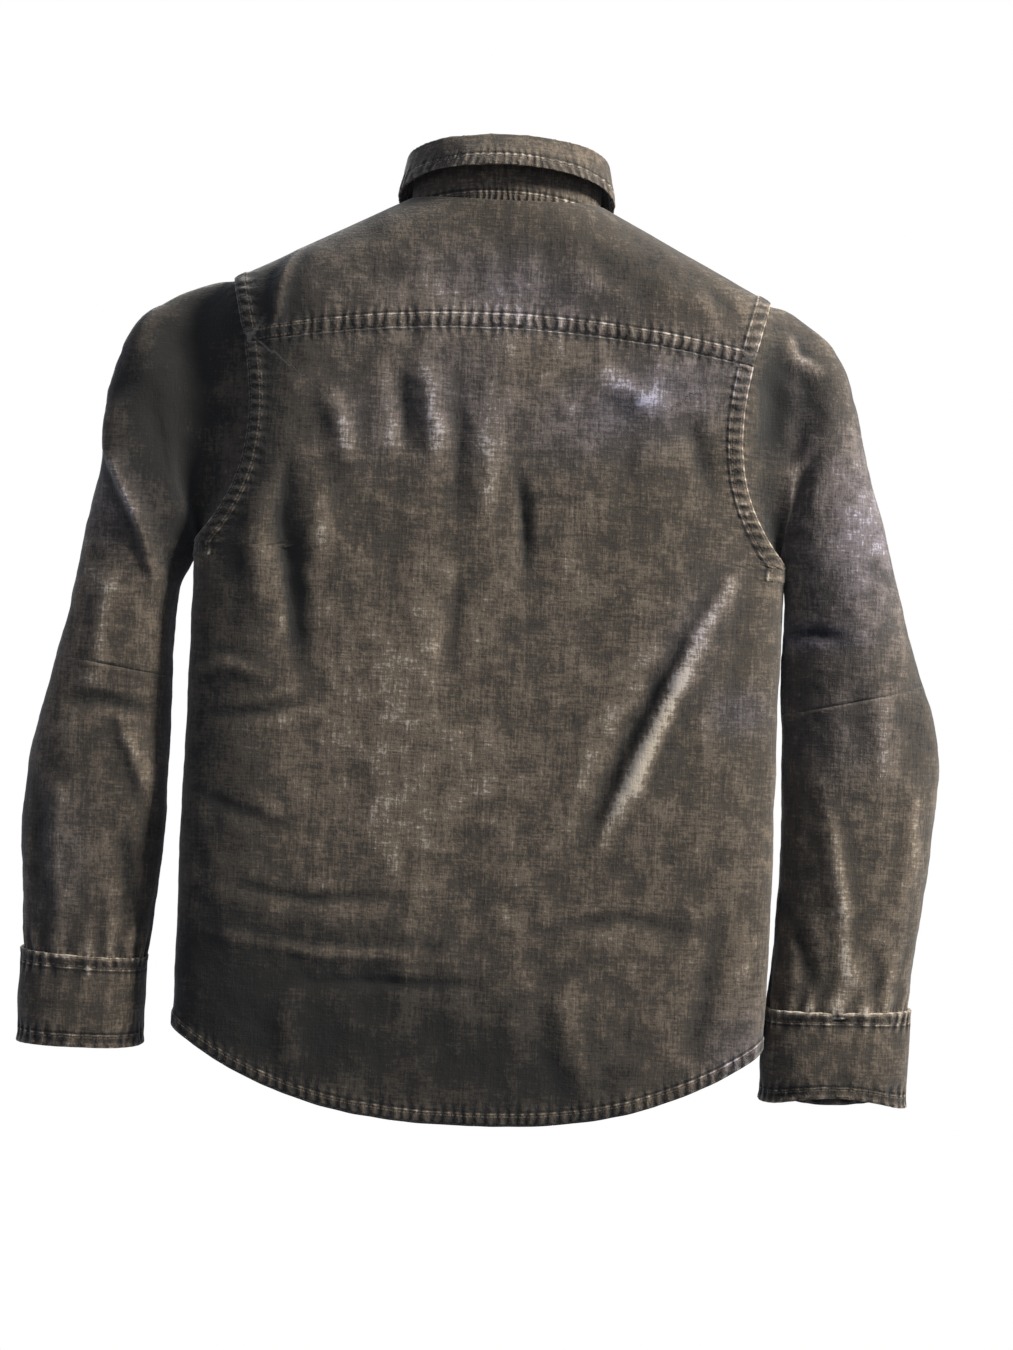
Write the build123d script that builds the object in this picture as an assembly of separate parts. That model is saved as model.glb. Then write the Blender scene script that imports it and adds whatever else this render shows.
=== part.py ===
from build123d import *
import os

# A work jacket of washed cotton cloth, hung as on a coat hanger: yoke, back, two fronts, two sleeves,
# cuffs and a folded collar, closed by snaps. Millimetres. +Z is up, the front faces -Y and the wearer's
# left is +X. The origin is the middle of the neck opening, level with the back neck seam.

# ---- driving dimensions ----
CLOTH = 2.0                  # wall of one panel with its turnings
PROUD = 1.0                  # how far a felled seam or hem stands out of the panel
GAP = 1.0                    # room between parts that move past each other
BODY_HALF_WIDTH = 243.0
BODY_HALF_DEPTH = 48.0
SIDE_RADIUS = 46.0
NECK_SIDE = (84.0, 5.0)      # x, z where the shoulder line meets the collar
SHOULDER = (222.0, -66.0)    # x, z of the shoulder point
ARMHOLE_WAIST = (206.0, -190.0)
UNDERARM = (246.0, -292.0)
YOKE_BACK_MIDDLE = -104.0    # height of the back yoke seam at the middle
YOKE_BACK_END = -129.0
YOKE_FRONT_DROP = 42.0       # front yoke seam below the shoulder line
HEM_SIDE = (252.0, -682.0)       # just outside the body, so the hem leaves its side cleanly
HEM_FLANK = (180.0, -727.0)
HEM_CURVE = (110.0, -747.0)
HEM_BOTTOM = -755.0
SEAM_WIDTH = 11.0
HEM_WIDTH = 9.0
SEAM_END = 0.5               # how far each half of an armhole seam stops from the side and shoulder

# fold along which the left front swings open, from the band's edge below the two top snaps to the hem
CREASE_TOP = (-25.0, -165.0)
CREASE_BOTTOM = (175.0, -740.0)
RIGHT_CREASE_DROP = 58.0    # the right front's fold is the left's, mirrored and lowered by this
FRONT_LAP = 3.0             # the left front's cloth reaches this far under the band's sewn edge

# front closure: the left band lies over the right band
LEFT_BAND = (-17.0, 13.0)
RIGHT_BAND = (-25.0, 5.0)
BAND_TOP = -27.0
BAND_ROOM = 2.4              # space between the two bands, for the snaps
SNAP_X = -3.0
SNAP_TOP_Z = [-105.0, -195.0]
SNAP_Z = [-283.0, -371.0, -459.0, -547.0, -635.0]

# snaps
CAP_R, CAP_T = 7.5, 2.0
SOCKET_R, SOCKET_BORE_R, SOCKET_T = 5.0, 2.6, 1.2
STUD_R, STUD_T, STUD_PIN_R, STUD_PIN_T = 4.5, 0.8, 2.0, 1.2
POST_R, POST_T = 5.0, 0.8
SNAP_PLAY = 0.4              # room between a closed socket and its stud

# sleeve sections: inner edge, outer edge as x, z, and half depth
SLEEVE_UPPER = [
    ((205.0, -294.0), (205.0, -66.0), 44.0),
    ((240.0, -298.0), (268.0, -96.0), 42.0),
    ((248.0, -306.0), (306.0, -150.0), 40.0),
    ((252.0, -345.0), (352.0, -335.0), 38.0),
    ((254.0, -429.0), (376.0, -429.0), 36.0),
]
SLEEVE_LOWER = [
    ((254.0, -431.0), (376.0, -431.0), 36.0),
    ((255.0, -515.0), (380.0, -515.0), 34.0),
    ((262.0, -640.0), (373.0, -640.0), 29.0),
]
SLEEVE_ROUND = 0.95          # edge radius of a section, as a share of its half depth
CUFF_X = (262.0, 374.0)
CUFF_Z = (-717.0, -640.0)
CUFF_HALF_DEPTH = 29.0
CUFF_WALL = 3.0
CUFF_TAB_LENGTH = 38.0
CUFF_TAB_FOLD = 348.0        # x of the fold where the overlapping end of the cuff lifts
CUFF_TAB_ROUND, CUFF_SNAP_INSET = 9.0, 11.0
FOLD_WIDTH = 4.5             # cloth left fixed behind a fold
VENT_X, VENT_Z = (322.0, 342.0), (-640.0, -545.0)   # sleeve placket above the cuff

# collar
NECK_A, NECK_B = 79.0, 45.0
NECK_ROOM = (0.5, 8.0)       # how far the neck hole is cut past the stand, across and front to back
COLLAR_TILT = 0.25           # how much the collar falls towards the front, per millimetre of depth
STAND_HEIGHT = 50.0
STAND_WALL = 2.5
LEAF_TOP, LEAF_DROP, LEAF_POINT = 54.0, 32.0, 30.0
LEAF_FLARE = (8.0, 18.0)
LEAF_HALF_OPENING = 17.0
LEAF_FOLD = 7.0              # how far the folded top reaches inwards over the stand
RING_BELOW, RING_ABOVE = 55.0, 20.0   # how far a collar ring is drawn past its tilted ends

# hanger loop and label inside the back of the neck
LOOP_HALF_LENGTH, LOOP_TACK, LOOP_THICK = 32.0, 6.0, 1.2
LOOP_Y = 32.0
LOOP_Z = (6.0, 16.0)
LABEL_HALF_WIDTH, LABEL_THICK = 25.0, 0.6
LABEL_Z = (-62.0, -24.0)

# chest pockets
POCKET_X = (90.0, 190.0)
POCKET_Z = (-282.0, -172.0)
POCKET_POINT = 16.0
FLAP_Z = (-204.0, -160.0)
PATCH = 1.6

FAR = 900.0


# ---- helpers ----
def xz_prism(face, near=-120.0, far=160.0):
    """The face, drawn as x and z, carried along Y from near to far."""
    drawn = Plane.XZ * face
    return Pos(0, far, 0) * extrude(drawn, amount=far - near, dir=(0, -1, 0))


def outline(*edges):
    return make_face(Wire(edges))


def block(x, y, z):
    return Pos((x[0] + x[1]) / 2, (y[0] + y[1]) / 2, (z[0] + z[1]) / 2) * Box(
        x[1] - x[0], y[1] - y[0], z[1] - z[0]
    )


def mirrored(shape):
    return mirror(shape, about=Plane.YZ)


def both_sides(shape):
    return shape + mirrored(shape)


def save(name, *shapes):
    solids = [s for shape in shapes for s in shape.solids()]
    export_step(solids[0] if len(solids) == 1 else Compound(children=solids), f"parts/{name}.step")


def save_pair(name, *shapes):
    """The wearer's left part, and its mirror image as the right part."""
    save(name.format("left"), *shapes)
    save(name.format("right"), *[mirrored(shape) for shape in shapes])


def disc(x, z, y, radius, thickness):
    """A round plate whose back lies at y and which stands out towards -Y."""
    return Pos(x, y - thickness / 2, z) * Rot(90, 0, 0) * Cylinder(radius, thickness)


# ---- the body's outer and inner forms ----
def shoulder_line(x):
    slope = (SHOULDER[1] - NECK_SIDE[1]) / (SHOULDER[0] - NECK_SIDE[0])
    return NECK_SIDE[1] + slope * (x - NECK_SIDE[0])


def torso(inset):
    """The body filled solid, with every wall moved in by inset."""
    half_depth = BODY_HALF_DEPTH - inset
    plan = RectangleRounded(
        2 * (BODY_HALF_WIDTH - inset), 2 * half_depth, SIDE_RADIUS - inset
    )
    column = Pos(0, 0, -FAR) * extrude(plan, amount=FAR + 100)
    crown = shoulder_line(0) - BODY_HALF_DEPTH
    arch = Plane.YZ * (
        Pos(0, (crown - FAR) / 2) * Rectangle(2 * half_depth, crown + FAR)
        + Pos(0, crown) * Circle(half_depth)
    )
    reach = 300.0
    slope = Vector(reach, 0, shoulder_line(reach) - shoulder_line(0))
    half = extrude(arch, amount=slope.length, dir=slope.normalized())
    return column & both_sides(half)


def hem_outline(lift=0.0):
    """Everything above the shirt-tail hem, as seen from the front."""
    side, flank, curve, bottom = HEM_SIDE, HEM_FLANK, HEM_CURVE, HEM_BOTTOM + lift
    side, flank, curve = [(x, z + lift) for x, z in (side, flank, curve)]
    right = [(-x, z) for x, z in (side, flank, curve)]
    top, edge = 100.0, 260.0
    return outline(
        Line((edge, top), (edge, side[1])),
        Line((edge, side[1]), side),
        ThreePointArc(side, flank, curve),
        ThreePointArc(curve, (0, bottom), right[2]),
        ThreePointArc(right[2], right[1], right[0]),
        Line(right[0], (-edge, side[1])),
        Line((-edge, side[1]), (-edge, top)),
        Line((-edge, top), (edge, top)),
    )


def armhole_outline(shift=0.0):
    """What lies outside the armhole seam, on the wearer's left."""
    top, waist, low = [(x + shift, z) for x, z in (SHOULDER, ARMHOLE_WAIST, UNDERARM)]
    edge, high = 420.0, 100.0
    return outline(
        Line((top[0], high), top),
        ThreePointArc(top, waist, low),
        Line(low, (edge, low[1])),
        Line((edge, low[1]), (edge, high)),
        Line((edge, high), (top[0], high)),
    )


def back_yoke_outline(lift=0.0):
    """What lies above the back yoke seam."""
    end, middle, edge, high = YOKE_BACK_END + lift, YOKE_BACK_MIDDLE + lift, 260.0, 100.0
    return outline(
        Line((edge, high), (edge, end)),
        ThreePointArc((edge, end), (0, middle), (-edge, end)),
        Line((-edge, end), (-edge, high)),
        Line((-edge, high), (edge, high)),
    )


def front_yoke_outline():
    """What lies above the front yoke seams, which run along the shoulders."""
    edge, high = 260.0, 100.0
    low = shoulder_line(edge) - YOKE_FRONT_DROP
    peak = shoulder_line(0) - YOKE_FRONT_DROP
    return Polygon((edge, high), (edge, low), (0, peak), (-edge, low), (-edge, high), align=None)


def neck_cut():
    """The column above the collar seam, which drops towards the front."""
    return neck_tube(NECK_A + NECK_ROOM[0], NECK_B + NECK_ROOM[1], -200, 200) & above_neck(0.0)


def neck_tube(a, b, low, high):
    return Pos(0, 0, low) * extrude(Ellipse(a, b), amount=high - low, dir=(0, 0, 1))


def above_neck(lift):
    """Everything above the tilted neck plane, raised by lift."""
    y = 150.0
    drop = COLLAR_TILT * BODY_HALF_DEPTH
    low, high = lift - drop - COLLAR_TILT * y, lift - drop + COLLAR_TILT * y
    side = Plane.YZ * Polygon((-y, low), (y, high), (y, 300), (-y, 300), align=None)
    return Pos(-150, 0, 0) * extrude(side, amount=300, dir=(1, 0, 0))


BACK_HALF = block((-400, 400), (0, 200), (-FAR, 300))
FRONT_HALF = block((-400, 400), (-200, 0), (-FAR, 300))
LEFT_HALF = block((0, 400), (-200, 200), (-FAR, 300))
ABOVE_HEM = xz_prism(hem_outline())
HEM_BAND = ABOVE_HEM - xz_prism(hem_outline(HEM_WIDTH))
ARMHOLES = both_sides(xz_prism(armhole_outline()))
ARMHOLE_BANDS = both_sides(xz_prism(armhole_outline(-SEAM_WIDTH)) - xz_prism(armhole_outline()))
ABOVE_BACK_YOKE = xz_prism(back_yoke_outline()) & BACK_HALF
ABOVE_FRONT_YOKE = xz_prism(front_yoke_outline()) & FRONT_HALF
NECK = neck_cut()
TORSO = torso(0)
BODY_SHELL = (TORSO - torso(CLOTH)) - ARMHOLES - NECK
SEAM_SHELL = (torso(-PROUD) - TORSO) - ARMHOLES - NECK
LINING_SHELL = (torso(CLOTH + 0.3) - torso(2 * CLOTH)) - ARMHOLES - NECK


# ---- yoke, back and seams ----
def make_back():
    save("back_panel", (BODY_SHELL & BACK_HALF & ABOVE_HEM) - ABOVE_BACK_YOKE)
    save("hem_back", SEAM_SHELL & BACK_HALF & HEM_BAND)
    seam = xz_prism(back_yoke_outline()) - xz_prism(back_yoke_outline(SEAM_WIDTH))
    save("yoke_seam", (SEAM_SHELL & BACK_HALF & seam) - ARMHOLE_BANDS)


def make_yoke():
    save("yoke", (BODY_SHELL & ABOVE_BACK_YOKE) + (BODY_SHELL & ABOVE_FRONT_YOKE))
    save("yoke_lining", (LINING_SHELL & ABOVE_BACK_YOKE) + (LINING_SHELL & ABOVE_FRONT_YOKE))


def make_seams():
    armhole = SEAM_SHELL & ARMHOLE_BANDS & LEFT_HALF
    join = block((-400, 400), (-SEAM_END, SEAM_END), (-FAR, 300))
    save_pair("armhole_seam_{}", armhole - join)
    strip = block((200, 300), (-5, 5), (HEM_SIDE[1] + HEM_WIDTH, UNDERARM[1]))
    save_pair("side_seam_{}", SEAM_SHELL & strip)


# ---- fronts ----
def crease_x(z):
    share = (z - CREASE_TOP[1]) / (CREASE_BOTTOM[1] - CREASE_TOP[1])
    return CREASE_TOP[0] + share * (CREASE_BOTTOM[0] - CREASE_TOP[0])


def swinging_region(margin):
    """The part of the left front that swings, seen from the front, moved in from the fold by margin."""
    top, low, middle = CREASE_TOP[1] - margin, -800.0, -60.0
    return xz_prism(
        Polygon(
            (middle, top),
            (crease_x(top) - margin, top),
            (crease_x(low) - margin, low),
            (middle, low),
            align=None,
        )
    )


def right_swinging_region(margin):
    return Pos(0, 0, -RIGHT_CREASE_DROP) * mirrored(swinging_region(margin))


def make_fronts():
    cloth = (BODY_SHELL & FRONT_HALF & ABOVE_HEM) - ABOVE_FRONT_YOKE
    hem = SEAM_SHELL & FRONT_HALF & HEM_BAND
    left_side = block((LEFT_BAND[1] - FRONT_LAP, 400), (-200, 200), (-FAR, 300))
    right_side = block((-400, RIGHT_BAND[0]), (-200, 200), (-FAR, 300))
    left_hem_side = block((LEFT_BAND[1], 400), (-200, 200), (-FAR, 300))
    fixed, swinging = swinging_region(0), swinging_region(GAP)
    for name, side, hem_side, whole, leaf in (
        ("left", left_side, left_hem_side, fixed, swinging),
        ("right", right_side, right_side, right_swinging_region(0), right_swinging_region(GAP)),
    ):
        save(f"front_{name}_upper", (cloth & side) - whole)
        save(f"front_{name}_lower", cloth & side & leaf)
        save(f"hem_front_{name}_side", (hem & hem_side) - whole)
        save(f"hem_front_{name}", hem & hem_side & leaf)


def make_bands():
    face = -BODY_HALF_DEPTH
    outer = face - BAND_ROOM
    bottom = HEM_BOTTOM - 5
    flat = block(LEFT_BAND, (outer - CLOTH, outer), (bottom, BAND_TOP))
    turning = block((LEFT_BAND[1] - 4, LEFT_BAND[1]), (outer, face), (bottom, BAND_TOP))
    left = (flat + turning) & ABOVE_HEM
    right = block(RIGHT_BAND, (face, face + CLOTH), (bottom, BAND_TOP)) & ABOVE_HEM
    fixed, swinging = swinging_region(0), swinging_region(GAP)
    save("placket_left_top", left - fixed)
    save("placket_left", left & swinging)
    save("placket_right_top", right - right_swinging_region(0))
    save("placket_right", right & right_swinging_region(GAP))


# ---- snaps ----
def snap_cap(x, z, y):
    dome = fillet(disc(x, z, y, CAP_R, CAP_T).edges().group_by(Axis.Y)[0], 1.2)
    return dome


def snap_socket(x, z, y):
    return disc(x, z, y, SOCKET_R, SOCKET_T) - disc(x, z, y + 1, SOCKET_BORE_R, SOCKET_T + 2)


def snap_stud(x, z, y):
    return disc(x, z, y, STUD_R, STUD_T) + disc(x, z, y - STUD_T, STUD_PIN_R, STUD_PIN_T)


def make_front_snaps():
    face = -BODY_HALF_DEPTH
    inner_side = face - BAND_ROOM
    outer_side = inner_side - CLOTH
    # the right front's fold starts lower, so the highest swinging cap meets a stud that stays still
    heights = {"": (SNAP_Z, SNAP_Z[1:]), "_top": (SNAP_TOP_Z, SNAP_TOP_Z + SNAP_Z[:1])}
    for suffix, (left_zs, right_zs) in heights.items():
        save(f"snap_caps_front{suffix}", *[snap_cap(SNAP_X, z, outer_side) for z in left_zs])
        sockets = [snap_socket(SNAP_X, z, inner_side + SOCKET_T) for z in left_zs]
        save(f"snap_sockets_front{suffix}", *sockets)
        save(f"snap_studs_front{suffix}", *[snap_stud(SNAP_X, z, face) for z in right_zs])
        posts = [disc(SNAP_X, z, face + CLOTH + POST_T, POST_R, POST_T) for z in right_zs]
        save(f"snap_posts_front{suffix}", *posts)


# ---- collar ----
def tilted_ring(low, high, a_low, b_low, a_high, b_high, wall):
    """A band round the neck between two heights over the tilted neck plane, wider at one end if asked."""

    def level(z, inset):
        share = (z - low) / (high - low)
        a, b = a_low + (a_high - a_low) * share, b_low + (b_high - b_low) * share
        return Pos(0, 0, z) * Ellipse(a - inset, b - inset)

    def filled(inset):
        return loft([level(low - RING_BELOW, inset), level(high + RING_ABOVE, inset)], ruled=True)

    return (filled(0) - filled(wall)) & above_neck(low) - above_neck(high)


def make_collar():
    slit = block((-0.5, 0.5), (-200, 0), (-200, 200))
    stand = tilted_ring(0, STAND_HEIGHT, NECK_A, NECK_B, NECK_A, NECK_B, STAND_WALL)
    save("collar_stand", stand - slit)
    leaf = tilted_ring(
        LEAF_TOP - LEAF_DROP,
        LEAF_TOP,
        NECK_A + 2.0 + LEAF_FLARE[0],
        NECK_B + 2.0 + LEAF_FLARE[1],
        NECK_A + 2.0 + CLOTH,
        NECK_B + 2.0 + CLOTH,
        CLOTH,
    )
    a, b = NECK_A + 2.0 + CLOTH, NECK_B + 2.0 + CLOTH
    leaf += tilted_ring(LEAF_TOP - CLOTH, LEAF_TOP, a, b, a, b, LEAF_FOLD)
    opening = xz_prism(
        Polygon(
            (0, LEAF_TOP),
            (LEAF_HALF_OPENING + LEAF_POINT, -120),
            (-LEAF_HALF_OPENING - LEAF_POINT, -120),
            align=None,
        ),
        -200,
        0,
    )
    save("collar_leaf", leaf - opening)
    inside_stand = neck_tube(NECK_A - STAND_WALL, NECK_B - STAND_WALL, -50, 80)
    strap = block((-LOOP_HALF_LENGTH, LOOP_HALF_LENGTH), (LOOP_Y, LOOP_Y + LOOP_THICK), LOOP_Z)
    ends = both_sides(block((LOOP_HALF_LENGTH - LOOP_TACK, LOOP_HALF_LENGTH), (LOOP_Y, NECK_B), LOOP_Z))
    save("hanger_loop", (strap + ends) & inside_stand)
    label_y = BODY_HALF_DEPTH - 2 * CLOTH
    label_x = (-LABEL_HALF_WIDTH, LABEL_HALF_WIDTH)
    save("neck_label", block(label_x, (label_y - LABEL_THICK, label_y), LABEL_Z))


# ---- sleeves ----
def section(inner, outer, half_depth, inset):
    start, end = Vector(inner[0], 0, inner[1]), Vector(outer[0], 0, outer[1])
    across = end - start
    frame = Plane(
        origin=(start + end) * 0.5, x_dir=across, z_dir=across.cross(Vector(0, 1, 0))
    )
    width, depth = across.length - 2 * inset, 2 * (half_depth - inset)
    return frame * RectangleRounded(width, depth, SLEEVE_ROUND * depth / 2)


def tube(sections, inset):
    return loft([section(*s, inset) for s in sections])


def sleeve_region():
    """Where the sleeve may be: outside the armhole seam, and beside the body below it."""
    top, waist, low = [(x + GAP, z) for x, z in (SHOULDER, ARMHOLE_WAIST, UNDERARM)]
    beside, bottom, edge, high = BODY_HALF_WIDTH + 3.0, -500.0, 500.0, 100.0
    low = (beside + GAP, low[1])
    return xz_prism(
        outline(
            Line((top[0], high), top),
            ThreePointArc(top, waist, low),
            Line(low, (low[0], bottom)),
            Line((low[0], bottom), (edge, bottom)),
            Line((edge, bottom), (edge, high)),
            Line((edge, high), (top[0], high)),
        )
    )


def make_sleeves():
    upper = (tube(SLEEVE_UPPER, 0) - tube(SLEEVE_UPPER, CLOTH)) & sleeve_region()
    save_pair("sleeve_upper_{}", upper)
    lower = tube(SLEEVE_LOWER, 0) - tube(SLEEVE_LOWER, CLOTH)
    save_pair("sleeve_lower_{}", lower)
    skin = tube(SLEEVE_LOWER, -PROUD) - tube(SLEEVE_LOWER, 0)
    save_pair("sleeve_vent_{}", skin & block(VENT_X, (-100, 0), VENT_Z))
    middle = (CUFF_X[0] + CUFF_X[1]) / 2
    width, depth = CUFF_X[1] - CUFF_X[0], 2 * CUFF_HALF_DEPTH
    radius = CUFF_HALF_DEPTH - 2
    outer = RectangleRounded(width, depth, radius)
    inner = RectangleRounded(width - 2 * CUFF_WALL, depth - 2 * CUFF_WALL, radius - CUFF_WALL)
    ring = Pos(middle, 0, CUFF_Z[0]) * extrude(outer - inner, amount=CUFF_Z[1] - CUFF_Z[0])
    face = -CUFF_HALF_DEPTH
    tab_inner = face - STUD_T - SOCKET_T - SNAP_PLAY
    free_end = CUFF_TAB_FOLD - CUFF_TAB_LENGTH
    tab = block((free_end, CUFF_TAB_FOLD), (tab_inner - CLOTH, tab_inner), CUFF_Z)
    save_pair("cuff_tab_{}", fillet(tab.edges().filter_by(Axis.Y).group_by(Axis.X)[0], CUFF_TAB_ROUND))
    fold_x = (CUFF_TAB_FOLD + GAP, CUFF_TAB_FOLD + FOLD_WIDTH)
    fold = block(fold_x, (tab_inner - CLOTH, face + CUFF_WALL), CUFF_Z)
    save_pair("cuff_{}", ring + fold)
    snap_x, snap_z = free_end + CUFF_SNAP_INSET, (CUFF_Z[0] + CUFF_Z[1]) / 2
    save_pair("cuff_snap_cap_{}", snap_cap(snap_x, snap_z, tab_inner - CLOTH))
    save_pair("cuff_snap_socket_{}", snap_socket(snap_x, snap_z, tab_inner + SOCKET_T))
    save_pair("cuff_snap_stud_{}", snap_stud(snap_x, snap_z, face))


# ---- chest pockets ----
def patch(x, z, point, y, thickness):
    middle = (x[0] + x[1]) / 2
    shape = Polygon(
        (x[0], z[1]), (x[1], z[1]), (x[1], z[0]), (middle, z[0] - point), (x[0], z[0]), align=None
    )
    return xz_prism(shape, y - thickness, y)


def make_pockets():
    face = -BODY_HALF_DEPTH
    middle = (POCKET_X[0] + POCKET_X[1]) / 2
    flap_y = face - PATCH - STUD_T - SOCKET_T - SNAP_PLAY
    flap_x = (POCKET_X[0] - 2, POCKET_X[1] + 2)
    fold = block(flap_x, (flap_y - PATCH, face), (FLAP_Z[1] + GAP, FLAP_Z[1] + FOLD_WIDTH))
    pocket = patch(POCKET_X, POCKET_Z, POCKET_POINT, face, PATCH)
    save_pair("pocket_{}", pocket + fold)
    save_pair("pocket_flap_{}", patch(flap_x, FLAP_Z, POCKET_POINT, flap_y, PATCH))
    snap_z = FLAP_Z[0] - 1
    save_pair("pocket_snap_cap_{}", snap_cap(middle, snap_z, flap_y - PATCH))
    save_pair("pocket_snap_socket_{}", snap_socket(middle, snap_z, flap_y + SOCKET_T))
    save_pair("pocket_snap_stud_{}", snap_stud(middle, snap_z, face - PATCH))


if __name__ == "__main__":
    os.makedirs("parts", exist_ok=True)
    make_back()
    make_yoke()
    make_seams()
    make_fronts()
    make_bands()
    make_front_snaps()
    make_collar()
    make_sleeves()
    make_pockets()
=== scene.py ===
import math

import bmesh
import bpy
import numpy as np
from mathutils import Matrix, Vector, noise


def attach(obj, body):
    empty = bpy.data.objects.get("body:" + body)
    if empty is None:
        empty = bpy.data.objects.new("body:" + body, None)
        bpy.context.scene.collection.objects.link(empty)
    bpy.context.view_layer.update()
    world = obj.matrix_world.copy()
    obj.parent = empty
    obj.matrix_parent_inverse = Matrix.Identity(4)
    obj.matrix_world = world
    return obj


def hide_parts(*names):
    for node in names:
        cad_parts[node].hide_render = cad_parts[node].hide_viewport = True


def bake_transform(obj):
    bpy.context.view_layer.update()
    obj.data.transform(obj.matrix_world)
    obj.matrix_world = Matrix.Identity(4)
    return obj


# A hung cotton work jacket, seen from behind. Shapes are worked out in millimetres in the row frame:
# +Z up, the back faces +Y, the wearer's left is +X, and z is 0 at the back neck seam.

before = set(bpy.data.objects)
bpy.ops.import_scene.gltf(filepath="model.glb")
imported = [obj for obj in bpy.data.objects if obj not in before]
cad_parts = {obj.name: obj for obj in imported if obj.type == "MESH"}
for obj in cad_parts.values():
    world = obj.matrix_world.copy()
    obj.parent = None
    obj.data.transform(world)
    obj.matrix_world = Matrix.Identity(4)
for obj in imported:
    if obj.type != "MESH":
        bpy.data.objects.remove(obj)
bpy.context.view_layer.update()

MM = 0.001            # the shapes are in millimetres and Blender is in metres
STEP = 3.4            # spacing of the cloth's grid
HALF_W, HALF_D = 244.0, 47.5
SQUARE = 5.5          # how square the body's outline is, seen from above; 2 is an ellipse
SEAM = 11.0           # width of a felled seam
CLOTH = 1.5
NECK_X = 84.0
SHOULDER_TOP = 5      # height of the shoulder line at the neck
SHOULDER_SLOPE = 0.514
ROUNDING = 52.0       # how far below the shoulder the body reaches its full depth
NECK_FRONT_DROP = 29  # how far the neck seam dips below the shoulder at the front
HEM_BACK, HEM_SIDE_RISE = -755, 67
YOKE_BACK, YOKE_BACK_DROP = -104, 25
YOKE_FRONT = 42       # how far the yoke comes over the shoulder to the front
PUCKER = 8.6          # from one pucker of a seam to the next
WEAR_AND_SHADE_GAIN = 0.45      # how quickly a ridge rubs pale, and a hollow takes painted shade, for each millimetre that it stands proud or sinks


# ---------------------------------------------------------------- form of the body
_phi = np.linspace(0, np.pi / 2, 800)
_px, _py = np.sin(_phi) ** (2 / SQUARE), np.cos(_phi) ** (2 / SQUARE)
_arc = np.concatenate([[0], np.cumsum(np.hypot(np.diff(_px * HALF_W), np.diff(_py * HALF_D)))])
GIRTH = _arc[-1]      # from the middle of the back round to the side seam
_arc = _arc / GIRTH


def ridge(x):
    """Height of the shoulder line."""
    return SHOULDER_TOP - SHOULDER_SLOPE * (np.abs(x) - NECK_X)


def depth(x, z):
    """How far the body's cloth lies from the middle plane."""
    plan = (1 - np.clip(np.abs(x) / HALF_W, 0, 1) ** SQUARE) ** (1 / SQUARE)
    low = np.clip((ridge(x) - z) / ROUNDING, 0, 1)
    return HALF_D * plan * np.sqrt(1 - (1 - low) ** 2.1)


def hem_z(x):
    return HEM_BACK + HEM_SIDE_RISE * np.clip(np.abs(x) / 243, 0, 1.1) ** 2.5


def back_yoke_z(x):
    return YOKE_BACK - YOKE_BACK_DROP * (x / 222) ** 2


def neck_z(x, side):
    """Height of the neck seam: side is 1 at the back and -1 at the front."""
    share = np.clip(np.abs(x) / NECK_X, 0, 1)
    if side > 0:
        return SHOULDER_TOP * share**2
    return SHOULDER_TOP - NECK_FRONT_DROP * np.sqrt(1 - share**2)


def top_z(x, side):
    return np.where(np.abs(x) < NECK_X, neck_z(x, side), ridge(x))


def yoke_z(x, side):
    if side > 0:
        return back_yoke_z(x)
    return np.minimum(ridge(x) - YOKE_FRONT, top_z(x, side))


ARM_TOP, ARM_LOW = -67.0, -292.0
ARM_KNOTS = [
    (-60, 225), (-80, 219), (-110, 211), (-150, 204), (-190, 202),
    (-215, 205), (-240, 213), (-262, 224), (-280, 237), (-292, 248),
]    # (z, x) along the armhole seam
_arm = np.polynomial.Polynomial.fit(*zip(*ARM_KNOTS), 5)


def arm_x(z):
    """Where the armhole seam runs on the body."""
    return np.minimum(_arm(np.clip(z, -292, -60)), HALF_W)


# ---------------------------------------------------------------- helpers
def noise_at(P, size, octaves=1, seed=0.0):
    """Smooth noise from -1 to 1 at points in millimetres; size is its longest wave."""
    flat = (P.reshape(-1, 3) / size + seed).tolist()
    if octaves == 1:
        values = [noise.noise(p) for p in flat]
    else:
        values = [noise.fractal(p, 0.9, 2.1, octaves) for p in flat]
    return np.array(values).reshape(P.shape[:-1])


FOLD_RISE, FOLD_SPREAD = 1.05, 1.25    # applied to every fold's height and width


def stroke(x, z, points, width, height, sharp=1.0):
    """A ridge, or a furrow where height is negative, along a line of (x, z) points, fading at both ends.
    sharp below 1 makes one flank steeper, the wearer's left one on a line that runs downwards."""
    best, at = np.full(np.shape(x), 1e9), np.zeros(np.shape(x))
    lengths = [math.dist(a, b) for a, b in zip(points, points[1:])]
    total, done = sum(lengths), 0.0
    sign = np.ones(np.shape(x))
    for (a, b), length in zip(zip(points, points[1:]), lengths):
        dx, dz = (b[0] - a[0]) / length, (b[1] - a[1]) / length
        along = np.clip((x - a[0]) * dx + (z - a[1]) * dz, 0, length)
        off = np.hypot(x - a[0] - along * dx, z - a[1] - along * dz)
        closer = off < best
        best = np.where(closer, off, best)
        at = np.where(closer, (done + along) / total, at)
        sign = np.where(closer, np.sign((x - a[0]) * dz - (z - a[1]) * dx), sign)
        done += length
    spread = np.where(sign > 0, width, width * sharp)
    rise = height * FOLD_RISE * np.exp(-((best / (spread * FOLD_SPREAD)) ** 2))
    return rise * np.sin(np.pi * np.clip(at, 0.02, 0.98))


def strokes(x, z, table):
    return sum(stroke(x, z, *row) for row in table)


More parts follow.
